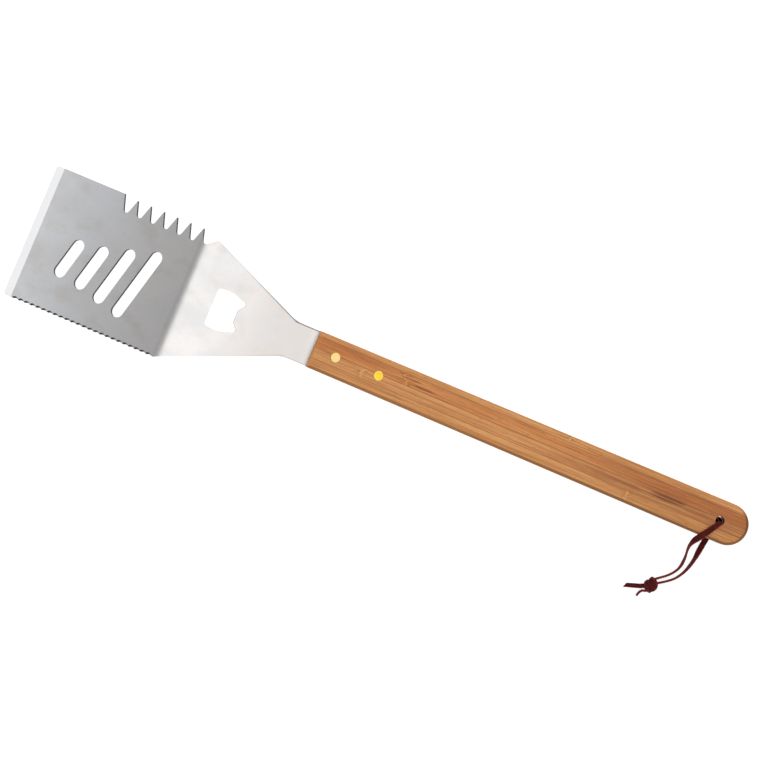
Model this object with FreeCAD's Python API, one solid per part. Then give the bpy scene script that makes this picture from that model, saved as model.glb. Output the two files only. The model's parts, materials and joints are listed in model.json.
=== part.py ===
import FreeCAD, Part
import math
import os

# Grill spatula with a bent stainless head, a laminated bamboo handle, two cutler's rivets and a
# leather lace.
# It lies face down, as an arch that stands on the blade's front edge and on the handle's butt:
# +X runs from the blade to the butt, +Y to the toothed side, +Z up, and the ground is z = 0.
# Flat pieces are drawn in the plane of the unbent sheet: x from the front edge, y across, and z = 0 at
# mid-thickness.
# All sizes are in millimetres and degrees.

V = FreeCAD.Vector

# --- steel head ---------------------------------------------------------------------------------
overall_length = 457.2        # unbent, front edge to butt (18 in)
sheet = 2.0                   # sheet thickness
blade_width = 80.0
blade_length = 102.0          # front edge to the start of the heel bend
heel_radius = 12.0            # at mid-thickness
bend_angle = 30.0             # between blade and shank
neck_width = 21.6
neck_start = 171.1
shank_corner = (112.1, 35.9)  # where the shank starts to taper on the toothed side
tang_length = 58.0
tang_corner_radius = 1.5
bevel_length = 5.7            # ground strip along the front edge, on the back face
bevel_edge = 0.5              # sheet thickness that is left at the front edge

# --- teeth, serration, slots, bottle opener --------------------------------------------------------
tooth_pitch = 9.0
tooth_gaps = 7                # the last one opens into the ramp up to the shank
first_gap = 51.85
gap_floor = 30.1              # distance of the gaps' floor from the centre line
gap_radius = 1.9
gap_half_angle = 19.5
ramp_angle = 38.0
serration_pitch = 3.97
serrations = 24
first_serration = 8.6
serration_radius = 2.4
serration_depth = 0.45        # on the food face; the slanted grind goes deeper on the back
serration_tilt = 25.0
slot_width = 7.8
slot_lean = 15.0
slot_pitch = 15.25
first_slot = 30.4
slot_lengths = (17.5, 21.5, 29.5, 37.5)   # between the centres of the round ends
slot_offsets = (-6.8, -6.8, -6.2, -5.5)   # of the slots' middles from the centre line
opener_start = 122.5
opener_offset = -0.25

# --- handle -----------------------------------------------------------------------------------------
handle_length = 271.4
handle_thickness = 15.0
handle_front_width = 22.3
handle_butt_width = 24.4
handle_rounding = 2.2
handle_corner_radius = 1.2
glue_lines = (7.9, 1.3, -4.9)
kerf_length = 58.6
hang_hole_diameter = 5.4
hang_hole_to_butt = 17.2

# --- rivets -----------------------------------------------------------------------------------------
rivet_places = {"front": 13.2, "rear": 40.0}   # from the handle's front end
rivet_offset = 0.3            # from the centre line
rivet_head_diameter = 5.8
rivet_head_thickness = 1.6
rivet_head_proud = 0.12
rivet_socket_diameter = 4.4
rivet_pin_diameter = 3.0
rivet_socket_reach = 4.5      # the socket's end, above mid-thickness
rivet_pin_reach = -3.5        # the pin's end, below mid-thickness
tang_hole_diameter = 4.8

# --- lace -------------------------------------------------------------------------------------------
# Route points are (x, y, z): x from the hang hole's centre, y from the centre line, z from the ground.
lace_diameter = 1.2
knot_radius = 4.4
knot_centre = (-21.9, -49.0, 3.7)
front_strand = [(0.5, 1.5, 9.1), (1.4, 1.5, 18.0), (-6.6, -13.8, 19.3), (-10.9, -22.3, 12.8),
                (-10.2, -28.2, 4.8), (-12.3, -35.4, 1.7), (-16.6, -42.0, 2.6), (-21.9, -49.0, 4.4)]
back_strand = [(0.5, 1.5, 9.1), (-0.3, 1.5, 0.62), (-3.4, -13.6, 0.62), (-4.1, -24.8, 0.8),
               (-6.9, -35.6, 1.2), (-13.4, -43.2, 1.8), (-21.9, -49.0, 3.2)]
tail_long = [(-21.9, -49.0, 2.2), (-27.0, -50.6, 1.0), (-31.6, -52.9, 0.8), (-36.3, -55.9, 0.9)]
tail_curled = [(-21.9, -49.0, 3.6), (-22.6, -53.2, 1.8), (-25.6, -54.8, 1.0), (-26.9, -58.2, 0.9)]

bend_length = math.radians(bend_angle) * heel_radius
shank_start = blade_length + bend_length
handle_start = overall_length - handle_length


def rounded_outline(corners):
    """Closed wire in the XY plane through (x, y, radius) corners."""
    entries, middles, exits = [], [], []
    for i, (x, y, radius) in enumerate(corners):
        corner = V(x, y, 0)
        before = corners[i - 1]
        after = corners[(i + 1) % len(corners)]
        back = (V(before[0], before[1], 0) - corner).normalize()
        ahead = (V(after[0], after[1], 0) - corner).normalize()
        half = back.getAngle(ahead) / 2
        entries.append(corner + back * (radius / math.tan(half)))
        exits.append(corner + ahead * (radius / math.tan(half)))
        middles.append(corner + (back + ahead).normalize() * (radius / math.sin(half) - radius))
    edges = []
    for i, (x, y, radius) in enumerate(corners):
        following = entries[(i + 1) % len(corners)]
        if radius:
            edges.append(Part.Arc(entries[i], middles[i], exits[i]).toShape())
        if exits[i].distanceToPoint(following) > 1e-6:
            edges.append(Part.LineSegment(exits[i], following).toShape())
    return Part.Wire(edges)


def crossing(p, p_angle, q, q_angle):
    """Point where a line through p and a line through q cross, each given by its direction in degrees."""
    px, py = math.cos(math.radians(p_angle)), math.sin(math.radians(p_angle))
    qx, qy = math.cos(math.radians(q_angle)), math.sin(math.radians(q_angle))
    along = ((q[0] - p[0]) * qy - (q[1] - p[1]) * qx) / (px * qy - py * qx)
    return p[0] + along * px, p[1] + along * py


def gap_apex(i):
    """Sharp bottom of tooth gap i, before its floor is rounded."""
    below_floor = gap_radius / math.sin(math.radians(gap_half_angle)) - gap_radius
    return first_gap + i * tooth_pitch, gap_floor - below_floor


def head_outline():
    """Outer edge of the unbent head; its last tooth gap opens into the ramp up to the shank."""
    half_blade, half_neck = blade_width / 2, neck_width / 2
    taper = (shank_corner[1] - half_neck) / (neck_start - shank_corner[0])
    heel_corner = shank_corner[0] - (half_blade - shank_corner[1]) / taper
    apex = gap_apex(tooth_gaps - 1)
    valley = crossing(apex, 90 + gap_half_angle, shank_corner, ramp_angle)
    tooth_flank = crossing(apex, 90 + gap_half_angle, (0, half_blade), 0)
    tang_end = handle_start + tang_length
    return rounded_outline([
        (0, -half_blade, 1.7),
        (heel_corner, -half_blade, 2.5),
        (neck_start, -half_neck, 18),
        (tang_end, -half_neck, tang_corner_radius),
        (tang_end, half_neck, tang_corner_radius),
        (neck_start, half_neck, 18),
        (shank_corner[0], shank_corner[1], 1.5),
        (valley[0], valley[1], gap_radius),
        (tooth_flank[0], tooth_flank[1], 0),
        (0, half_blade, 1.7),
    ])


def tooth_gap(i):
    """V-shaped gap with a round floor, open at the blade's edge."""
    x, y = gap_apex(i)
    top = blade_width / 2 + 1
    half_mouth = (top - y) * math.tan(math.radians(gap_half_angle))
    return rounded_outline([(x, y, gap_radius), (x + half_mouth, top, 0), (x - half_mouth, top, 0)])


def drain_slot(i):
    """Slanted slot with round ends."""
    half_length, radius = slot_lengths[i] / 2 + slot_width / 2, slot_width / 2
    slot = rounded_outline([(-radius, -half_length, radius), (radius, -half_length, radius),
                            (radius, half_length, radius), (-radius, half_length, radius)])
    slot.rotate(V(0, 0, 0), V(0, 0, 1), -slot_lean)
    slot.translate(V(first_slot + i * slot_pitch, slot_offsets[i], 0))
    return slot


def bottle_opener():
    """Cut-out with bowed sides and a flat claw between two round lobes on its handle side."""
    half = [(0, 11.4, 2.2), (8.5, 12.1, 22), (19.2, 8.6, 1.5), (15.3, 3.7, 1.2)]
    mirrored = [(x, -y, radius) for x, y, radius in half]
    opener = rounded_outline(half[::-1] + mirrored)
    opener.translate(V(opener_start, opener_offset, 0))
    return opener


def head_blank():
    """Unbent head as one flat face at mid-thickness, with every cut-out."""
    cut_outs = [tooth_gap(i) for i in range(tooth_gaps - 1)]
    cut_outs += [drain_slot(i) for i in range(len(slot_lengths))]
    cut_outs.append(bottle_opener())
    for place in rivet_places.values():
        middle = V(handle_start + place, rivet_offset, 0)
        circle = Part.Circle(middle, V(0, 0, 1), tang_hole_diameter / 2)
        cut_outs.append(Part.Wire(circle.toShape()))
    return Part.Face(head_outline()).cut([Part.Face(wire) for wire in cut_outs])


def stretch_of(blank, start, end):
    """The part of a flat face between two distances from the front edge."""
    window = Part.makePlane(end - start, 2 * blade_width, V(start, -blade_width, 0))
    return blank.common(window).Faces[0]


def thickened(face):
    """Sheet metal plate round a flat face at mid-thickness."""
    plate = face.extrude(V(0, 0, sheet))
    plate.translate(V(0, 0, -sheet / 2))
    return plate


def front_bevel():
    """Wedge that is ground off the back face along the front edge."""
    slope = (sheet - bevel_edge) / bevel_length
    beyond = 2.0
    profile = Part.makePolygon([
        V(-beyond, -blade_width, sheet / 2 - slope * (bevel_length + beyond)),
        V(bevel_length, -blade_width, sheet / 2),
        V(bevel_length, -blade_width, sheet),
        V(-beyond, -blade_width, sheet),
        V(-beyond, -blade_width, sheet / 2 - slope * (bevel_length + beyond)),
    ])
    return Part.Face(profile).extrude(V(0, 2 * blade_width, 0))


def serration_cutters():
    """Row of slanted cylinders that grind the scalloped edge from the back face."""
    tilt = math.radians(serration_tilt)
    direction = V(0, math.sin(tilt), math.cos(tilt))
    cutters = []
    for i in range(serrations):
        edge = V(first_serration + i * serration_pitch, -blade_width / 2, -sheet / 2)
        inward = (serration_depth - serration_radius) / math.cos(tilt)
        start = edge + V(0, inward, 0) - direction * 5
        cutters.append(Part.makeCylinder(serration_radius, 12, start, direction))
    return cutters


def heel_point(point, height):
    """Where the ray from the bend's axis through a point of the unbent sheet meets a level plane."""
    angle = math.radians(handle_slope - bend_angle) + (point.x - blade_length) / heel_radius
    return V(height * math.tan(angle), point.y, height)


def heel_outline(face, height):
    """Outline of the heel's stretch of the sheet, thrown from the bend's axis on to a level plane."""
    edges = []
    for edge in face.OuterWire.OrderedEdges:
        ends = [heel_point(vertex.Point, height) for vertex in edge.Vertexes]
        if isinstance(edge.Curve, Part.Line):
            edges.append(Part.LineSegment(ends[0], ends[1]).toShape())
        else:
            middle = edge.valueAt((edge.FirstParameter + edge.LastParameter) / 2)
            edges.append(Part.Arc(ends[0], heel_point(middle, height), ends[1]).toShape())
    return Part.Wire(edges)


def heel_ring():
    """Full-width stretch of bent sheet: part of a ring about the bend's axis."""
    angles = [handle_slope - bend_angle, handle_slope - bend_angle / 2, handle_slope]

    def arc(radius):
        return [V(radius * math.sin(math.radians(a)), -blade_width, radius * math.cos(math.radians(a)))
                for a in angles]

    inner, outer = arc(heel_radius - sheet / 2), arc(heel_radius + sheet / 2)
    edges = [Part.Arc(*inner), Part.LineSegment(inner[2], outer[2]), Part.Arc(*outer),
             Part.LineSegment(outer[0], inner[0])]
    ring = Part.Face(Part.Wire(Part.__sortEdges__([edge.toShape() for edge in edges])))
    return ring.extrude(V(0, 2 * blade_width, 0))


def bent_heel(blank):
    """The heel's stretch of the sheet, with walls square to its curved faces."""
    stretch = stretch_of(blank, blade_length, shank_start)
    outlines = [heel_outline(stretch, height) for height in (0.6 * heel_radius, 1.4 * heel_radius)]
    return heel_ring().common(Part.makeLoft(outlines, True, True))


def on_blade(shape):
    """Move a shape from the unbent sheet to the blade of the lying spatula."""
    shape.translate(V(-blade_length, 0, heel_radius))
    shape.rotate(V(0, 0, 0), V(0, 1, 0), handle_slope - bend_angle)
    return on_ground(shape)


def on_shank(shape):
    """Move a shape from the unbent sheet to the shank and handle of the lying spatula."""
    shape.translate(V(-shank_start, 0, heel_radius))
    shape.rotate(V(0, 0, 0), V(0, 1, 0), handle_slope)
    return on_ground(shape)


def on_ground(shape):
    """Move a shape from the bend's axis to the origin on the ground below the spatula's middle."""
    shape.translate(V(-middle_x, 0, front_edge_drop(handle_slope)))
    return shape


def front_edge_drop(slope):
    """Depth of the front edge below the bend's axis when the handle has this slope."""
    rise = math.radians(bend_angle - slope)
    return blade_length * math.sin(rise) - (heel_radius - sheet / 2) * math.cos(rise)


def butt_drop(slope):
    """Depth of the butt's lowest point below the bend's axis when the handle has this slope."""
    fall = math.radians(slope)
    reach = overall_length - shank_start - handle_rounding
    depth = handle_thickness / 2 - handle_rounding - heel_radius
    return reach * math.sin(fall) + depth * math.cos(fall) + handle_rounding


def resting_slope():
    """Slope of the handle at which the front edge and the butt touch the ground together."""
    low, high = 0.0, bend_angle
    for _ in range(50):
        slope = (low + high) / 2
        if front_edge_drop(slope) > butt_drop(slope):
            low = slope
        else:
            high = slope
    return slope


def middle_of_length():
    """Distance of the lying spatula's middle from the bend's axis, along X."""
    rise = math.radians(bend_angle - handle_slope)
    fall = math.radians(handle_slope)
    edge_height = heel_radius - sheet / 2 + bevel_edge
    side_height = heel_radius + handle_thickness / 2 - handle_rounding
    front = -blade_length * math.cos(rise) - edge_height * math.sin(rise)
    butt = (overall_length - shank_start) * math.cos(fall) + side_height * math.sin(fall)
    return (front + butt) / 2


def spatula_head():
    """Stamped head: beveled and serrated blade, bent heel, shank, neck and tang in one sheet."""
    blank = head_blank()
    blade = thickened(stretch_of(blank, -1, blade_length))
    blade = blade.cut([front_bevel()] + serration_cutters())
    shank = thickened(stretch_of(blank, shank_start, overall_length))
    heel = on_ground(bent_heel(blank))
    return on_blade(blade).fuse([heel, on_shank(shank)]).removeSplitter()


def handle_blank():
    """Whole handle, rounded along every edge, with its kerf, rivet holes and hang hole."""
    half_front, half_butt = handle_front_width / 2, handle_butt_width / 2
    end = overall_length
    widening = math.atan2(half_butt - half_front, handle_length)
    butt_radius = half_butt * math.tan(math.radians(45) - widening / 2)
    outline = rounded_outline([
        (handle_start, -half_front, handle_corner_radius),
        (end, -half_butt, butt_radius),
        (end, half_butt, butt_radius),
        (handle_start, half_front, handle_corner_radius),
    ])
    handle = Part.Face(outline).extrude(V(0, 0, handle_thickness))
    handle.translate(V(0, 0, -handle_thickness / 2))
    level_edges = [edge for edge in handle.Edges if edge.BoundBox.ZLength < 1e-6]
    handle = handle.makeFillet(handle_rounding, level_edges)
    kerf = Part.makeBox(kerf_length + 1, 2 * handle_butt_width, sheet,
                        V(handle_start - 1, -handle_butt_width, -sheet / 2))
    hang_hole = Part.makeCylinder(hang_hole_diameter / 2, 2 * handle_thickness,
                                  V(end - hang_hole_to_butt, 0, -handle_thickness))
    cutters = [kerf, hang_hole]
    for place in rivet_places.values():
        cutters += rivet_hole(handle_start + place)
    return handle.cut(cutters)


def rivet_hole(x):
    """Through hole for the socket and a counterbore for the head on each face."""
    through = Part.makeCylinder(rivet_socket_diameter / 2, 2 * handle_thickness,
                                V(x, rivet_offset, -handle_thickness))
    seat = handle_thickness / 2 - rivet_head_thickness
    radius = rivet_head_diameter / 2
    upper = Part.makeCylinder(radius, handle_thickness, V(x, rivet_offset, seat))
    lower = Part.makeCylinder(radius, handle_thickness, V(x, rivet_offset, -seat), V(0, 0, -1))
    return [through, upper, lower]


def bamboo_strips():
    """The four glued strips of the handle, numbered from the toothed side."""
    handle = handle_blank()
    edges = [handle_butt_width, *glue_lines, -handle_butt_width]
    strips = {}
    for i in range(len(edges) - 1):
        window = Part.makeBox(handle_length + 2, edges[i] - edges[i + 1], 2 * handle_thickness,
                              V(handle_start - 1, edges[i + 1], -handle_thickness))
        strips[f"bamboo_strip_{i + 1}"] = on_shank(handle.common(window))
    return strips


def rivet_head(x, side):
    """Flat rivet head with a rounded rim; side is 1 on the back of the handle and -1 below it."""
    seat = handle_thickness / 2 - rivet_head_thickness
    head = Part.makeCylinder(rivet_head_diameter / 2, rivet_head_thickness + rivet_head_proud,
                             V(x, rivet_offset, side * seat), V(0, 0, side))
    outer = side * (seat + rivet_head_thickness + rivet_head_proud)
    rim = [edge for edge in head.Edges if abs(edge.BoundBox.ZMin - outer) < 1e-6
           and edge.BoundBox.ZLength < 1e-6]
    return head.makeFillet(rivet_head_proud * 0.9, rim)


def rivet_pair(x):
    """The pin half, whose head shows on the back of the handle, and the socket half below it."""
    seat = handle_thickness / 2 - rivet_head_thickness
    foot = V(x, rivet_offset, -seat)
    tip = V(x, rivet_offset, rivet_pin_reach)
    pin = Part.makeCylinder(rivet_pin_diameter / 2, seat - rivet_pin_reach, tip)
    socket = Part.makeCylinder(rivet_socket_diameter / 2, rivet_socket_reach + seat, foot)
    bore = Part.makeCylinder(rivet_pin_diameter / 2, rivet_socket_reach + seat, foot)
    male = rivet_head(x, 1).fuse(pin).removeSplitter()
    female = rivet_head(x, -1).fuse(socket.cut(bore)).removeSplitter()
    return male, female


def rivets():
    """Both cutler's rivets, each as its two halves."""
    halves = {}
    for name, place in rivet_places.items():
        male, female = rivet_pair(handle_start + place)
        halves[f"{name}_rivet_male"] = on_shank(male)
        halves[f"{name}_rivet_female"] = on_shank(female)
    return halves


def hang_hole_centre():
    """Centre of the hang hole at mid-thickness, in the lying spatula."""
    return on_shank(Part.Vertex(overall_length - hang_hole_to_butt, 0, 0)).Point


def tube(name, route):
    """Round tube along straight runs joined by tangent arcs; prints the arcs' radii."""
    points = [V(hang_hole_centre().x + x, y, z) for x, y, z in route]
    edges, radii = [], []
    last = points[0]
    for before, corner, after in zip(points, points[1:], points[2:]):
        back, ahead = before - corner, after - corner
        half_turn = (math.pi - back.getAngle(ahead)) / 2
        reach = 0.45 * min(back.Length, ahead.Length)
        radius = reach / math.tan(half_turn)
        back.normalize()
        ahead.normalize()
        entry, leave = corner + back * reach, corner + ahead * reach
        inside = radius / math.cos(half_turn) - radius
        middle = corner + (back + ahead).normalize() * inside
        edges.append(Part.LineSegment(last, entry).toShape())
        edges.append(Part.Arc(entry, middle, leave).toShape())
        radii.append(radius)
        last = leave
    edges.append(Part.LineSegment(last, points[-1]).toShape())
    path = Part.Wire(edges)
    circle = Part.Circle(points[0], points[1] - points[0], lace_diameter / 2)
    solid = path.makePipeShell([Part.Wire(circle.toShape())], True, False)
    expected = math.pi * lace_diameter ** 2 / 4 * path.Length
    print(name, "length", round(path.Length, 1), "volume ratio", round(solid.Volume / expected, 4),
          "arc radii", [round(radius, 1) for radius in radii])
    return solid


def lace():
    """Leather lace: two strands that meet inside the hang hole, a knot and its two tails."""
    x, y, z = knot_centre
    knot = Part.makeSphere(knot_radius, V(hang_hole_centre().x + x, y, z))
    ground = Part.makeBox(1000, 1000, 100, V(-500, -500, -100))
    pieces = {"lace_knot": knot.cut(ground)}
    routes = {"lace_front_strand": front_strand, "lace_back_strand": back_strand,
              "lace_tail_long": tail_long, "lace_tail_curled": tail_curled}
    for name, route in routes.items():
        pieces[name] = tube(name, route).cut(pieces["lace_knot"])
    return pieces


handle_slope = resting_slope()
middle_x = middle_of_length()

nodes = {"spatula_head": spatula_head()}
nodes.update(bamboo_strips())
nodes.update(rivets())
nodes.update(lace())

os.makedirs("parts", exist_ok=True)
for name, shape in nodes.items():
    shape.exportStep(f"parts/{name}.step")
    print(name, "solids", len(shape.Solids), "valid", shape.isValid(), "volume", round(shape.Volume, 1))
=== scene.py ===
import json
import math
import random

import bmesh
import bpy
from mathutils import Matrix, Vector


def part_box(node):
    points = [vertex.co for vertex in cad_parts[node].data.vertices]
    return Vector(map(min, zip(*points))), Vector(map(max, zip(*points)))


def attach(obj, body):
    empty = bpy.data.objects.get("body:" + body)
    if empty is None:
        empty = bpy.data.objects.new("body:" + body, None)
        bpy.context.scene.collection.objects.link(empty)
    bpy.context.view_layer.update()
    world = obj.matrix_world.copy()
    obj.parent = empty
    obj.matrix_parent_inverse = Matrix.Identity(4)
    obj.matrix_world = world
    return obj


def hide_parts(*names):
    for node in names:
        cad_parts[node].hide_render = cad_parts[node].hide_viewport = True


# Grill spatula that lies face down on a pale floor: satin steel head, laminated bamboo handle, brass
# cutler's rivets and a flat leather lace with a knot. Lengths are metres, in the CAD model's frame.

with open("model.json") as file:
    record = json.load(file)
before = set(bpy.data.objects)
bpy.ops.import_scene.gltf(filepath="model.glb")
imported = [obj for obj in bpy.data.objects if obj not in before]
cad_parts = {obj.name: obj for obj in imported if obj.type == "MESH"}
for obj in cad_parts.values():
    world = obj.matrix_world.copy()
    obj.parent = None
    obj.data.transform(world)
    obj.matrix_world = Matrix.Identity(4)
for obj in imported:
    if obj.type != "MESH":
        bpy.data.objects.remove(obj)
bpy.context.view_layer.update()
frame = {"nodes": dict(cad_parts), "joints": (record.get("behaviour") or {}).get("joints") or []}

MM = 0.001
swing = frame["joints"][0]
HANG_HOLE = Vector(swing["pos_m"])
HANDLE_SLOPE = math.asin(swing["axis"][0])
HEEL_BEND = math.radians(30)
BLADE_SLOPE = HEEL_BEND - HANDLE_SLOPE
BLADE_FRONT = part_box("spatula_head")[0].x
HANDLE_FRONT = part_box("bamboo_strip_2")[0].x

# --- head and rivets ------------------------------------------------------------------------------
BEVEL_LENGTH = 0.0057         # ground strip along the blade's front edge
SHANK_CORNER = 0.1031         # from the blade's front edge to the shank's widest place
SHANK_TOOTHED_EDGE = (0.0359, -0.4276)    # y at the corner, and slope from there to the neck
SHANK_PLAIN_EDGE = (-0.0369, 0.4516)
NECK_HALF_WIDTH = 0.0108
RIVET_HEAD_RADIUS = 0.0029

# --- camera and floor -----------------------------------------------------------------------------
FRAME_WIDTH = 0.4359          # what the picture's width covers, at the object's middle height
CAMERA_LENS = 900
CAMERA_ROLL = math.radians(22.92)
CAMERA_LEAN = math.radians(0.3)
CAMERA_TARGET = Vector((-0.0047, -0.0015, 0.018))
FLOOR_SIZE = 30
FLOOR_DROP = 0.0002

# --- lace -----------------------------------------------------------------------------------------
# Route points are (x, y, z) in millimetres: x from the hang hole's centre, y from the handle's
# centre line, z from the table.
LACE_WIDTH = 3.5 * MM
LACE_THICKNESS = 1.4 * MM
LACE_WOBBLE = 0.03            # part by which the cut width strays
FRONT_STRAND = [(0.7, 0.2, 9.1), (1.0, -0.5, 14.4), (1.3, -0.9, 17.7), (-2.2, -6.7, 17.9),
                (-6.3, -12.9, 19.0), (-9.4, -17.2, 17.8), (-10.2, -21.5, 13.4), (-9.2, -27.0, 6.2),
                (-9.8, -34.2, 2.2), (-13.6, -39.8, 2.2), (-19.5, -44.4, 3.0), (-23.0, -47.2, 4.4)]
BACK_STRAND = [(0.7, 0.2, 9.1), (0.2, 1.1, 4.5), (-0.3, 1.6, 0.76), (-0.6, -1.8, 0.72),
               (-1.7, -8.0, 0.74), (-2.6, -13.6, 0.72), (-3.4, -20.0, 1.3), (-4.0, -27.0, 2.1),
               (-6.6, -36.0, 2.0), (-12.2, -43.4, 2.1), (-21.6, -48.9, 3.2)]
TAIL_LONG = [(-21.9, -49.0, 2.2), (-24.6, -51.4, 1.6), (-29.6, -53.2, 0.9), (-35.2, -55.0, 0.85)]
TAIL_CURLED = [(-21.9, -49.0, 3.6), (-21.4, -53.6, 2.2), (-25.7, -54.0, 1.9), (-26.5, -57.6, 1.9)]

# Sides are the directions that the lace's width points in, and widths are parts of LACE_WIDTH.
# Both are spread evenly along a route. The lace lies flat at the hole and is on edge at the knot.
FLAT = (1, 0, 0)
UPRIGHT = (0, 0, 1)
LEANING = (0.25, 0, 0.97)
FRONT_SIDES = [FLAT, FLAT, (0.9, -0.3, 0), (0.86, -0.5, 0), (0.72, -0.38, 0.5), (0.25, -0.1, 0.96),
               UPRIGHT, LEANING, UPRIGHT, UPRIGHT, UPRIGHT]
FRONT_WIDTHS = [0.72, 0.78, 0.92, 1.08, 1.14, 1, 0.95, 0.95, 0.95, 0.9, 0.9]
BACK_SIDES = [FLAT, FLAT, FLAT, FLAT, FLAT, (1, -0.1, 0), (0.92, 0, 0.3), (0.52, 0, 0.85), LEANING,
              UPRIGHT, UPRIGHT]
BACK_WIDTHS = [0.72, 0.72, 0.8, 0.95, 1, 1, 1, 1, 1, 0.95, 0.9]
LONG_TAIL_SIDES = [(0.5, -0.5, 0.7), (0.4, -0.9, 0.3), (0.35, -0.9, 0)]
LONG_TAIL_WIDTHS = [0.8, 0.74]
CURLED_TAIL_SIDES = [UPRIGHT, UPRIGHT, (0, 0.2, 1)]

KNOT_CENTRE = (-21.4, -49.2, 3.8)
KNOT_AXIS = Vector((0.47, 0.88, 0)).normalized()
KNOT_FLATNESS = 0.86          # its height as a part of its width
KNOT_WIDTHS = [0.7, 0.8, 0.7]


# --- node helpers ---------------------------------------------------------------------------------

def plug(tree, socket, value):
    """Give an input a constant, or link it when the value is a socket."""
    if isinstance(value, bpy.types.NodeSocket):
        tree.links.new(value, socket)
    else:
        socket.default_value = value


def node(tree, kind, inputs=None, **settings):
    """Add a shader node with these settings and inputs."""
    made = tree.nodes.new("ShaderNode" + kind)
    for name, value in settings.items():
        setattr(made, name, value)
    for key, value in (inputs or {}).items():
        plug(tree, made.inputs[key], value)
    return made


def calc(tree, operation, *values):
    """Output of a Math node."""
    return node(tree, "Math", dict(enumerate(values)), operation=operation).outputs[0]


def fade(tree, value, low, high, to_low=0.0, to_high=1.0):
    """Smooth step of a value from low to high."""
    inputs = {"Value": value, "From Min": low, "From Max": high, "To Min": to_low, "To Max": to_high}
    return node(tree, "MapRange", inputs, interpolation_type="SMOOTHSTEP").outputs["Result"]


def noise(tree, vector, stretch, detail=2.0, offset=(0, 0, 0)):
    """Noise whose cells are 1 / stretch metres long on each axis."""
    mapped = node(tree, "Mapping", {"Vector": vector, "Scale": stretch, "Location": offset})
    inputs = {"Vector": mapped.outputs[0], "Scale": 1.0, "Detail": detail, "Roughness": 0.55}
    return node(tree, "TexNoise", inputs).outputs["Fac"]


def blend(tree, factor, first, second):
    """Mix of two colours; a colour is linear RGB."""
    mix = node(tree, "Mix", data_type="RGBA")
    plug(tree, mix.inputs["Factor"], factor)
    for index, colour in ((6, first), (7, second)):
        plug(tree, mix.inputs[index], (*colour, 1) if isinstance(colour, tuple) else colour)
    return mix.outputs[2]


def layered(tree, colour, layers):
    """Lay colours over a colour; a layer is its mask and its colour, and the last is on top."""
    for mask, top in layers:
        colour = blend(tree, mask, colour, top)
    return colour


def shade(colour, *factors):
    """Colour with each channel multiplied by its factor."""
    return tuple(channel * factor for channel, factor in zip(colour, factors))


def bumps(tree, height, distance, strength):
    """Normal output of a Bump node."""
    bump = node(tree, "Bump", {"Height": height, "Distance": distance, "Strength": strength})
    return bump.outputs["Normal"]


def material(name, **constants):
    """New material with a Principled shader; constants go straight to the shader's inputs."""
    made = bpy.data.materials.new(name)
    made.use_nodes = True
    shader = made.node_tree.nodes["Principled BSDF"]
    for key, value in constants.items():
        shader.inputs[key.replace("_", " ")].default_value = value
    return made, made.node_tree, shader


def sheet_space(tree, slope, front):
    """Coordinates in a sloping part: x from its front end along it, y across, z square to it."""
    position = node(tree, "TexCoord").outputs["Object"]
    shift = node(tree, "Mapping", {"Vector": position, "Location": (-front, 0, 0)})
    turned = node(tree, "Mapping", {"Vector": shift.outputs[0], "Rotation": (0, slope, 0)})
    return turned.outputs[0]


def axes_of(tree, vector):
    """X, Y and Z outputs of a vector."""
    return node(tree, "SeparateXYZ", {0: vector}).outputs


# --- materials ------------------------------------------------------------------------------------

SCORCH_COLOUR = (0.150, 0.043, 0.011)


def squareness(tree, normal, slopes):
    """How squarely a normal points out of the sheet: 1 on its faces, 0 on the walls of its cuts."""
    found = 0.0
    for slope in slopes:
        outward = (math.sin(slope), 0, math.cos(slope))
        dot = node(tree, "VectorMath", {0: normal, 1: outward}, operation="DOT_PRODUCT")
        found = calc(tree, "MAXIMUM", found, calc(tree, "ABSOLUTE", dot.outputs["Value"]))
    return found


def shank_edge(tree, past_corner, edge, limit, inside):
    """Line of one edge of the shank, as y, which ends where the neck runs straight."""
    at_corner, slope = edge
    line = calc(tree, "MULTIPLY_ADD", past_corner, slope, at_corner)
    return calc(tree, limit, line, inside)


def painted_edge_shade(tree):
    """Mask of painted shade along the shank's edges, darker on the toothed side and towards the neck.
    """
    x, y, _ = axes_of(tree, node(tree, "TexCoord").outputs["Object"])
    past_corner = calc(tree, "SUBTRACT", x, BLADE_FRONT + SHANK_CORNER)
    toothed = shank_edge(tree, past_corner, SHANK_TOOTHED_EDGE, "MAXIMUM", NECK_HALF_WIDTH)
    plain = shank_edge(tree, past_corner, SHANK_PLAIN_EDGE, "MINIMUM", -NECK_HALF_WIDTH)
    dark = calc(tree, "MULTIPLY", fade(tree, calc(tree, "SUBTRACT", toothed, y), 0.0010, 0.0004),
                fade(tree, past_corner, 0.015, 0.05, 0.12, 0.85))
    faint = calc(tree, "MULTIPLY", fade(tree, calc(tree, "SUBTRACT", y, plain), 0.0009, 0.0003),
                 fade(tree, past_corner, 0.0, 0.01, 0, 0.22))
    return calc(tree, "ADD", dark, faint)


def painted_wall_shade(tree):
    """Layer of painted shade on the sheet's cut edges: grey, and dark where they are ground slanting.
    """
    normal = node(tree, "TexCoord").outputs["Normal"]
    square = squareness(tree, normal, (-BLADE_SLOPE, HANDLE_SLOPE))
    colour = blend(tree, fade(tree, square, 0.08, 0.2), (0.25, 0.235, 0.22), (0.022, 0.021, 0.02))
    return fade(tree, square, 0.9, 0.75), colour


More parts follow.
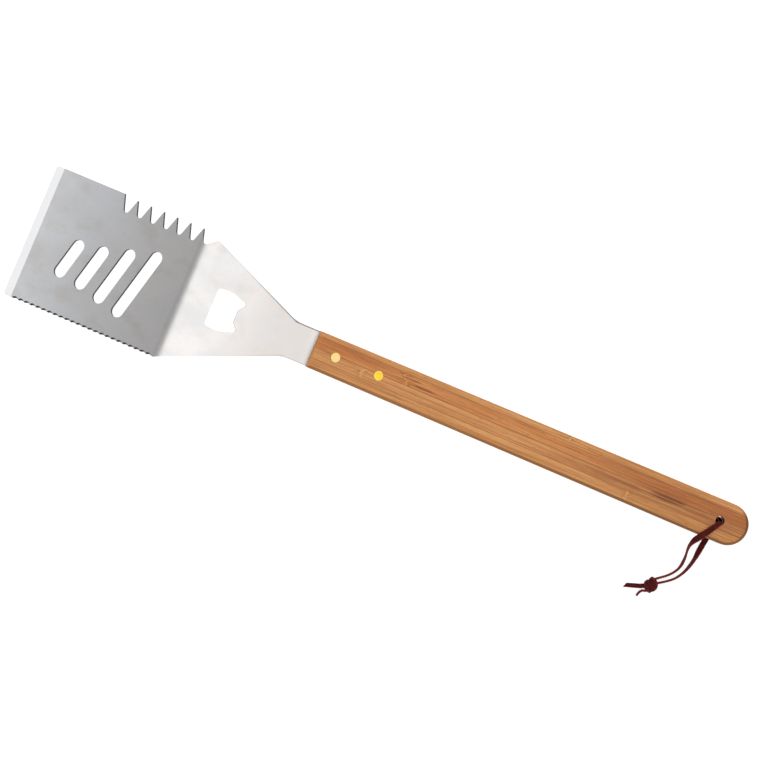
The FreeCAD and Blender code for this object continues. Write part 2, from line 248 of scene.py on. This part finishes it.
def satin_steel():
    """Rolled stainless sheet: brush lines, faint stains, a ground front strip, painted shade on the
    shank, its edges and its cut walls, and a painted light band by the handle.
    """
    made, tree, shader = material("satin_steel", Metallic=1.0)
    place = sheet_space(tree, BLADE_SLOPE, BLADE_FRONT)
    x, _, z = axes_of(tree, place)
    brushing = noise(tree, place, (40, 5200, 5200), 3)
    grinding = noise(tree, place, (600, 9000, 600), 2)
    smudge = noise(tree, place, (28, 45, 45), 4)
    stain = noise(tree, place, (60, 90, 90), 5, (3, 1, 7))
    speck = noise(tree, place, (420, 900, 900), 4, (5, 2, 1))
    bevel = calc(tree, "MULTIPLY", fade(tree, x, BEVEL_LENGTH + 0.0004, BEVEL_LENGTH),
                 fade(tree, z, -0.0005, 0.0005))
    along, _, _ = axes_of(tree, node(tree, "TexCoord").outputs["Object"])
    to_handle = calc(tree, "SUBTRACT", HANDLE_FRONT, along)
    colour = layered(tree, (0.595, 0.60, 0.618), [
        (fade(tree, x, 0.03, 0.10), (0.612, 0.594, 0.582)),
        # Painted shade: the steel darkens from the bend towards the neck.
        (fade(tree, x, 0.118, 0.162), (0.505, 0.47, 0.445)),
        # Painted light: a paler band on the steel just in front of the handle.
        (fade(tree, to_handle, 0.0050, 0.0005, 0, 0.45), (0.66, 0.635, 0.615)),
        (fade(tree, smudge, 0.35, 0.7, 0, 0.6), (0.52, 0.515, 0.52)),
        (fade(tree, stain, 0.50, 0.70, 0, 0.4), (0.49, 0.45, 0.42)),
        (fade(tree, speck, 0.50, 0.72, 0, 0.2), (0.45, 0.44, 0.43)),
        (bevel, (0.70, 0.70, 0.71)),
        # Painted shade along the shank's edges.
        (painted_edge_shade(tree), (0.13, 0.12, 0.115)),
        # Painted shade on the walls of the cuts.
        painted_wall_shade(tree),
    ])
    rough = calc(tree, "MULTIPLY_ADD", brushing, 0.10, 0.28)
    rough = calc(tree, "MULTIPLY_ADD", smudge, 0.10, rough)
    rough = calc(tree, "MULTIPLY_ADD", bevel, 0.08, rough)
    grooves = node(tree, "Mix", {"Factor": bevel, 2: brushing, 3: grinding}).outputs[0]
    plug(tree, shader.inputs["Base Color"], colour)
    plug(tree, shader.inputs["Roughness"], rough)
    plug(tree, shader.inputs["Normal"], bumps(tree, grooves, 0.00002, 0.25))
    return made


def node_mark(tree, place, wander, mark, deep, pale):
    """Layers of one node of the bamboo: dark flecks and a pale line across the strip."""
    x, _, _ = axes_of(tree, place)
    ahead = calc(tree, "MULTIPLY_ADD", wander, 0.012, calc(tree, "SUBTRACT", x, mark + 0.006))
    away = calc(tree, "ABSOLUTE", ahead)
    mottle = noise(tree, place, (300, 1100, 1100), 3, (7, mark, 1))
    fleck = calc(tree, "MULTIPLY", fade(tree, away, 0.0045, 0.001),
                 fade(tree, mottle, 0.48, 0.66, 0, 0.7))
    return [(fleck, deep), (fade(tree, away, 0.0009, 0.0002, 0, 0.6), pale)]


def scorch_layer(tree, place, wander, fibres, scorch):
    """Layer of one dark streak, given as its place along and across, its reach and its width."""
    along, across, reach, width = scorch
    x, y, _ = axes_of(tree, place)
    ahead = calc(tree, "DIVIDE", calc(tree, "SUBTRACT", x, along), reach)
    aside = calc(tree, "DIVIDE", calc(tree, "SUBTRACT", y, across), width)
    spread = calc(tree, "MULTIPLY_ADD", ahead, ahead, calc(tree, "MULTIPLY", aside, aside))
    region = fade(tree, calc(tree, "MULTIPLY_ADD", wander, 1.2, spread), 1.7, 0.9)
    return calc(tree, "MULTIPLY", region, fade(tree, fibres, 0.40, 0.56, 0.3, 0.9)), SCORCH_COLOUR


def glue_layer(tree, place, line, deep):
    """Layer of the fine dark line where two strips meet, at y = line in millimetres."""
    _, y, _ = axes_of(tree, place)
    away = calc(tree, "ABSOLUTE", calc(tree, "SUBTRACT", y, line * MM))
    return fade(tree, away, 0.0003, 0.0001, 0, 0.6), deep


def painted_rim_light_and_shade(tree, x, light, dark, pale):
    """Layers of painted light and shade round the handle: a lighter front end, a highlight line where
    the roundings turn, painted shade along both long edges, and a darker butt that is partly end grain
    and partly painted shade.
    """
    facing, sideways, _ = axes_of(tree, node(tree, "TexCoord").outputs["Normal"])
    turning = calc(tree, "ABSOLUTE", calc(tree, "ADD", facing, 0.02))
    # Painted shade along the handle's -y edge, stronger towards the butt.
    painted_shade_minus_y = calc(tree, "MULTIPLY", fade(tree, sideways, -0.08, -0.42),
                      fade(tree, x, 0.05, 0.24, 0.7, 1))
    return [
        # Painted light on the front end.
        (fade(tree, facing, -0.2, -0.5, 0, 0.5), light),
        # Painted highlight line where the roundings turn.
        (fade(tree, turning, 0.07, 0.02, 0, 0.3), pale),
        # Darker butt: partly end grain, partly painted shade.
        (fade(tree, facing, 0.15, 0.6, 0, 0.95), shade(dark, 0.32, 0.32, 0.32)),
        # Painted shade along the -y edge.
        (painted_shade_minus_y, shade(dark, 0.5, 0.5, 0.5)),
        # Painted shade along the +y edge.
        (fade(tree, sideways, 0.35, 0.8, 0, 0.6), dark),
    ]


def bamboo(name, light, dark, glue_lines, marks, scorches, aged, seed):
    """Lacquered bamboo strip: fibres, slow streaks, node marks, dark streaks, and painted light and
    shade round its outside.
    """
    made, tree, shader = material(name, Specular_IOR_Level=0.25)
    place = sheet_space(tree, -HANDLE_SLOPE, HANDLE_FRONT)
    x, _, _ = axes_of(tree, place)
    fibres = noise(tree, place, (38, 1500, 1500), 3, (seed, seed, 0))
    pores = noise(tree, place, (260, 1900, 1900), 3, (2 * seed, seed, 4))
    streaks = noise(tree, place, (9, 800, 500), 3, (seed, 2 * seed, 5))
    clouds = noise(tree, place, (14, 160, 120), 3, (seed, 3 * seed, 9))
    wander = noise(tree, place, (40, 350, 350), 4, (seed, 1, 6))
    deep = shade(dark, 0.54, 0.41, 0.27)
    pale = shade(light, 1.25, 1.25, 1.25)
    tone = calc(tree, "MULTIPLY_ADD", streaks, 0.6, calc(tree, "MULTIPLY", clouds, 0.4))
    darkened = calc(tree, "MULTIPLY", fade(tree, x, 0.13, 0.21, 0, aged),
                    fade(tree, streaks, 0.38, 0.58, 0.6, 1))
    layers = [
        (fade(tree, tone, 0.38, 0.62), dark),
        (darkened, deep),
        (fade(tree, fibres, 0.52, 0.70, 0, 0.55), deep),
        (fade(tree, fibres, 0.46, 0.30, 0, 0.45), pale),
        (fade(tree, pores, 0.55, 0.72, 0, 0.4), deep),
    ]
    for mark in marks:
        layers += node_mark(tree, place, wander, mark, deep, pale)
    layers += [scorch_layer(tree, place, wander, fibres, scorch) for scorch in scorches]
    layers += [glue_layer(tree, place, line, deep) for line in glue_lines]
    layers += painted_rim_light_and_shade(tree, x, light, dark, pale)
    plug(tree, shader.inputs["Base Color"], layered(tree, light, layers))
    plug(tree, shader.inputs["Roughness"], calc(tree, "MULTIPLY_ADD", fibres, 0.16, 0.36))
    plug(tree, shader.inputs["Normal"], bumps(tree, fibres, 0.00005, 0.35))
    return made


def brass(name, rivet, colour, rim, tarnish):
    """Polished brass: a lightly tarnished middle, a rim of its own shade and a painted shadow line
    round it.
    """
    made, tree, shader = material(name, Metallic=1.0)
    place = node(tree, "TexCoord").outputs["Object"]
    low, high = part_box(rivet)
    axis = (math.sin(HANDLE_SLOPE), 0, math.cos(HANDLE_SLOPE))
    offset = node(tree, "VectorMath", {0: place, 1: (low + high) / 2}, operation="SUBTRACT").outputs[0]
    aside = node(tree, "VectorMath", {0: offset, 1: axis}, operation="CROSS_PRODUCT").outputs[0]
    radius = node(tree, "VectorMath", {0: aside}, operation="LENGTH").outputs["Value"]
    cloud = noise(tree, place, (500, 500, 500), 4)
    # Painted shadow ring round the rivet's head.
    painted_shadow_ring = fade(tree, radius, RIVET_HEAD_RADIUS - 0.00012, RIVET_HEAD_RADIUS, 0, 0.6)
    looks = layered(tree, colour, [
        (fade(tree, cloud, 0.45, 0.75), tarnish),
        (fade(tree, radius, 0.0017, 0.0023), rim),
        (painted_shadow_ring, (0.10, 0.05, 0.02)),
    ])
    plug(tree, shader.inputs["Base Color"], looks)
    plug(tree, shader.inputs["Roughness"], calc(tree, "MULTIPLY_ADD", cloud, 0.18, 0.2))
    plug(tree, shader.inputs["Normal"], bumps(tree, cloud, 0.00004, 0.3))
    return made


def leather():
    """Dyed leather lace: a dark grained face, painted shade inside its edges, redder edges that are
    partly cut-edge colour and partly painted highlight, and a dull surface.

    The meshes carry "across", which is 0 at the middle of the lace's width and 1 at its edges.
    """
    made, tree, shader = material("burgundy_leather", Specular_IOR_Level=0.08)
    place = node(tree, "TexCoord").outputs["Object"]
    grain = noise(tree, place, (2600, 2600, 2600), 4)
    wear = noise(tree, place, (420, 420, 420), 3, (1, 5, 2))
    across = node(tree, "Attribute", attribute_name="across").outputs["Fac"]
    off_middle = calc(tree, "ABSOLUTE", across)
    colour = layered(tree, (0.060, 0.0045, 0.0045), [
        (fade(tree, wear, 0.4, 0.7), (0.105, 0.009, 0.0085)),
        # Painted shade: a darker band inside each edge.
        (fade(tree, off_middle, 0.45, 0.65, 0, 0.4), (0.025, 0.003, 0.003)),
        # Redder edges: partly cut-edge colour, partly painted highlight.
        (fade(tree, off_middle, 0.70, 0.88), (0.165, 0.018, 0.016)),
        (fade(tree, grain, 0.55, 0.75, 0, 0.6), (0.022, 0.003, 0.003)),
    ])
    plug(tree, shader.inputs["Base Color"], colour)
    plug(tree, shader.inputs["Roughness"], calc(tree, "MULTIPLY_ADD", grain, 0.2, 0.5))
    plug(tree, shader.inputs["Normal"], bumps(tree, grain, 0.00012, 0.6))
    return made


def pale_floor():
    """White shooting table, lit softly from below."""
    made, _, shader = material("pale_floor", Roughness=0.9, Specular_IOR_Level=0.1,
                               Emission_Strength=0.8)
    shader.inputs["Base Color"].default_value = (0.45, 0.45, 0.45, 1)
    shader.inputs["Emission Color"].default_value = (1, 1, 1, 1)
    return made


# --- lace geometry --------------------------------------------------------------------------------

def lace_point(point):
    """Place of a route point in the model."""
    x, y, z = point
    return Vector((HANG_HOLE.x + x * MM, y * MM, z * MM))


def smooth_line(route):
    """Points along the NURBS spline that has the route as its control points."""
    curve = bpy.data.curves.new("route", "CURVE")
    curve.dimensions = "3D"
    curve.resolution_u = 10
    spline = curve.splines.new("NURBS")
    spline.points.add(len(route) - 1)
    for point, place in zip(spline.points, route):
        point.co = (*lace_point(place), 1)
    spline.order_u = 3
    spline.use_endpoint_u = True
    carrier = bpy.data.objects.new("route", curve)
    mesh = bpy.data.meshes.new_from_object(carrier)
    line = [vertex.co.copy() for vertex in mesh.vertices]
    bpy.data.objects.remove(carrier)
    bpy.data.curves.remove(curve)
    bpy.data.meshes.remove(mesh)
    return line


def strap_section(count=16, across_power=0.45, up_power=0.6):
    """The lace's section, as (across, up) pairs: the lower the powers, the squarer its corners."""
    section = []
    for i in range(count):
        angle = 2 * math.pi * (i + 0.5) / count
        across = math.copysign(abs(math.cos(angle)) ** across_power, math.cos(angle))
        up = math.copysign(abs(math.sin(angle)) ** up_power, math.sin(angle))
        section.append((across * LACE_WIDTH / 2, up * LACE_THICKNESS / 2))
    return section


def spread_along(values, t):
    """Value at t, from 0 to 1, between evenly spread values."""
    place = t * (len(values) - 1)
    step = min(int(place), len(values) - 2)
    return values[step] * (1 - place + step) + values[step + 1] * (place - step)


def add_strap(mesh, line, sides, slant=0.0, widths=(1.0, 1.0)):
    """Sweep the lace's section along a line; slant is how far its far end is cut off at an angle."""
    section = strap_section()
    edge_layer = mesh.verts.layers.float.get("across") or mesh.verts.layers.float.new("across")
    rings = []
    for i, place in enumerate(line):
        ahead = (line[min(i + 1, len(line) - 1)] - line[max(i - 1, 0)]).normalized()
        side = spread_along(sides, i / (len(line) - 1))
        width = spread_along(widths, i / (len(line) - 1))
        side = (side - ahead * side.dot(ahead)).normalized()
        up = ahead.cross(side)
        lean = slant if i == len(line) - 1 else 0.0
        wobble = 1 + random.uniform(-LACE_WOBBLE, LACE_WOBBLE)
        ring = []
        for across, rise in section:
            offset = side * across * width * wobble + up * rise + ahead * across * lean
            vertex = mesh.verts.new(place + offset)
            vertex[edge_layer] = 2 * across / LACE_WIDTH
            ring.append(vertex)
        rings.append(ring)
    for first, second in zip(rings, rings[1:]):
        for i in range(len(section)):
            j = (i + 1) % len(section)
            mesh.faces.new((first[i], first[j], second[j], second[i]))
    mesh.faces.new(reversed(rings[0]))
    mesh.faces.new(rings[-1])


def lace_piece(name, mesh, node_name):
    """Finish a lace mesh as an object that stands for a CAD node, parented to the lace's body."""
    bmesh.ops.recalc_face_normals(mesh, faces=mesh.faces)
    data = bpy.data.meshes.new(name)
    mesh.to_mesh(data)
    mesh.free()
    data.shade_smooth()
    data.materials.append(LEATHER)
    piece = bpy.data.objects.new(name, data)
    bpy.context.scene.collection.objects.link(piece)
    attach(piece, "lace")
    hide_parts(node_name)
    return piece


def strap_piece(name, route, sides, node_name, slant=0.0, widths=(1.0, 1.0)):
    """One stretch of lace along a route; returns its object and its centre line."""
    line = smooth_line(route)
    mesh = bmesh.new()
    add_strap(mesh, line, [Vector(side) for side in sides], slant, widths)
    return lace_piece(name, mesh, node_name), line


def knot_turns(start, turns, radius, reach, taper=1.45, count=60):
    """Line that winds round the knot's axis and comes in at both ends, more for a smaller taper."""
    level = KNOT_AXIS.cross(Vector(UPRIGHT))
    line = []
    for i in range(count + 1):
        along = reach * (2 * i / count - 1)
        angle = math.radians(start + 360 * turns * i / count)
        round_off = math.sqrt(1 - (along / (taper * reach)) ** 2)
        offset = level * math.cos(angle) * radius * round_off
        offset.z = math.sin(angle) * radius * round_off * KNOT_FLATNESS
        line.append(lace_point(KNOT_CENTRE) + (offset + KNOT_AXIS * along) * MM)
    return line


def knot_loop(start, end, radius, high, low, count=30):
    """Line of the loop that lies round the knot's foot, from a high to a low place."""
    line = []
    for i in range(count + 1):
        angle = math.radians(start + (end - start) * i / count)
        height = high + (low - high) * i / count
        offset = Vector((math.cos(angle) * radius, math.sin(angle) * radius, height - KNOT_CENTRE[2]))
        line.append(lace_point(KNOT_CENTRE) + offset * MM)
    return line


def add_core(mesh, radius, reach):
    """Strands inside the knot, as one rounded body along its axis."""
    turn = KNOT_AXIS.to_track_quat("Z", "Y").to_matrix().to_4x4()
    size = Matrix.Diagonal((radius * MM, radius * MM * KNOT_FLATNESS, reach * MM, 1))
    place = Matrix.Translation(lace_point(KNOT_CENTRE)) @ turn @ size
    bmesh.ops.create_icosphere(mesh, subdivisions=4, radius=1, matrix=place)


def lace_knot():
    """Overhand knot of the doubled lace: turns round the strands and a loop that locks them."""
    mesh = bmesh.new()
    turns = knot_turns(start=-90, turns=2, radius=3.2, reach=3.3)
    add_strap(mesh, turns, [KNOT_AXIS, KNOT_AXIS], widths=KNOT_WIDTHS)
    add_core(mesh, radius=3.3, reach=4.3)
    loop = knot_loop(start=60, end=-130, radius=3.5, high=4.0, low=2.4)
    add_strap(mesh, loop, [Vector(UPRIGHT), Vector(UPRIGHT)])
    return lace_piece("lace_knot_tied", mesh, "lace_knot")


def lace():
    """Both strands, knot and tails; the two strands meet in the hang hole."""
    front, front_line = strap_piece("lace_strand_over", FRONT_STRAND, FRONT_SIDES,
                                    "lace_front_strand", widths=FRONT_WIDTHS)
    back, back_line = strap_piece("lace_strand_under", BACK_STRAND, BACK_SIDES, "lace_back_strand",
                                  widths=BACK_WIDTHS)
    long_tail, _ = strap_piece("lace_end_long", TAIL_LONG, LONG_TAIL_SIDES, "lace_tail_long",
                               slant=0.6, widths=LONG_TAIL_WIDTHS)
    curled_tail, _ = strap_piece("lace_end_curled", TAIL_CURLED, CURLED_TAIL_SIDES,
                                 "lace_tail_curled", slant=-0.4)
    knot = lace_knot()


# --- stage ----------------------------------------------------------------------------------------

def camera():
    """Long lens that looks almost straight down, rolled so that the handle falls to the right."""
    data = bpy.data.cameras.new("camera")
    data.lens = CAMERA_LENS
    data.clip_end = 100
    seen = bpy.data.objects.new("camera", data)
    bpy.context.scene.collection.objects.link(seen)
    up = Vector((-math.sin(CAMERA_ROLL), math.cos(CAMERA_ROLL), 0))
    back = (Vector((0, 0, 1)) * math.cos(CAMERA_LEAN) - up * math.sin(CAMERA_LEAN)).normalized()
    right = up.cross(back).normalized()
    up = back.cross(right)
    distance = FRAME_WIDTH * CAMERA_LENS / data.sensor_width
    turn = Matrix((right, up, back)).transposed().to_4x4()
    seen.matrix_world = Matrix.Translation(CAMERA_TARGET + back * distance) @ turn
    bpy.context.scene.camera = seen


def floor():
    """Plain floor, a little below z = 0 so that no face of the object lies in it."""
    bpy.ops.mesh.primitive_plane_add(size=FLOOR_SIZE, location=(0, 0, -FLOOR_DROP))
    plane = bpy.context.object
    plane.name = "floor"
    plane.data.materials.append(pale_floor())


def soft_light(name, place, target, size, power):
    """Rectangular studio light that faces a point and stays out of the camera's sight."""
    data = bpy.data.lights.new(name, "AREA")
    data.shape = "RECTANGLE"
    data.size, data.size_y = size
    data.energy = power
    lamp = bpy.data.objects.new(name, data)
    bpy.context.scene.collection.objects.link(lamp)
    lamp.location = place
    lamp.rotation_euler = (Vector(target) - Vector(place)).to_track_quat("-Z", "Y").to_euler()
    lamp.visible_camera = False


def studio():
    """Even pale surroundings, a broad overhead light and two weaker ones from the sides."""
    world = bpy.data.worlds.new("studio")
    bpy.context.scene.world = world
    world.use_nodes = True
    sky = world.node_tree.nodes["Background"]
    sky.inputs["Color"].default_value = (0.98, 0.99, 1.0, 1)
    sky.inputs["Strength"].default_value = 0.42
    soft_light("overhead", (0.45, 0.1, 1.5), (0.45, 0.1, 0), size=(1.8, 1.9), power=14.6)
    soft_light("far_side", (0.1, 1.5, 0.9), (0, 0, 0), size=(1.6, 0.8), power=6.5)
    soft_light("blade_side", (-0.45, 0, 0.1), (-0.2, 0, 0.03), size=(0.6, 0.2), power=0.37)
    bpy.context.scene.view_settings.view_transform = "Standard"


def paint(node_name, finish):
    """Give a CAD node its material."""
    for slot in frame["nodes"][node_name].material_slots:
        slot.material = finish


# --- the handle's strips and rivets ---------------------------------------------------------------
# Marks and scorches are given in metres from the handle's front end, and glue lines in millimetres
# from its centre line. A scorch is its place along and across the handle, its reach and its width.
STRIPS = {
    "bamboo_strip_1": dict(
        light=(0.66, 0.312, 0.104), dark=(0.49, 0.198, 0.057), aged=0.0,
        glue_lines=[7.9], marks=[0.153], scorches=[]),
    "bamboo_strip_2": dict(
        light=(0.64, 0.262, 0.078), dark=(0.47, 0.155, 0.038), aged=0.5,
        glue_lines=[7.9, 1.3], marks=[0.052],
        scorches=[(0.056, 0.0056, 0.007, 0.0009), (0.065, 0.0034, 0.008, 0.0008)]),
    "bamboo_strip_3": dict(
        light=(0.665, 0.315, 0.108), dark=(0.53, 0.21, 0.066), aged=0.9,
        glue_lines=[1.3, -4.9], marks=[0.028], scorches=[(0.2187, 0.0006, 0.012, 0.0034)]),
    "bamboo_strip_4": dict(
        light=(0.67, 0.315, 0.105), dark=(0.52, 0.21, 0.062), aged=0.25,
        glue_lines=[-4.9], marks=[0.196], scorches=[]),
}
RIVETS = {
    # The front rivet's paler colours are a painted reflection of white light on the same brass as the
    # rear one.
    "front": dict(name="brass_with_painted_reflection", colour=(0.60, 0.42, 0.22), rim=(0.60, 0.44, 0.12),
                  tarnish=(0.54, 0.36, 0.18)),
    "rear": dict(name="yellow_brass", colour=(0.72, 0.43, 0.03), rim=(0.62, 0.42, 0.08),
                 tarnish=(0.62, 0.36, 0.02)),
}

random.seed(7)
LEATHER = leather()
camera()
lace()
floor()
studio()

paint("spatula_head", satin_steel())
for number, (strip, looks) in enumerate(STRIPS.items(), 1):
    paint(strip, bamboo(strip, seed=number * 3.7, **looks))
for end, looks in RIVETS.items():
    finish = brass(rivet=f"{end}_rivet_male", **looks)
    for half in ("male", "female"):
        paint(f"{end}_rivet_{half}", finish)
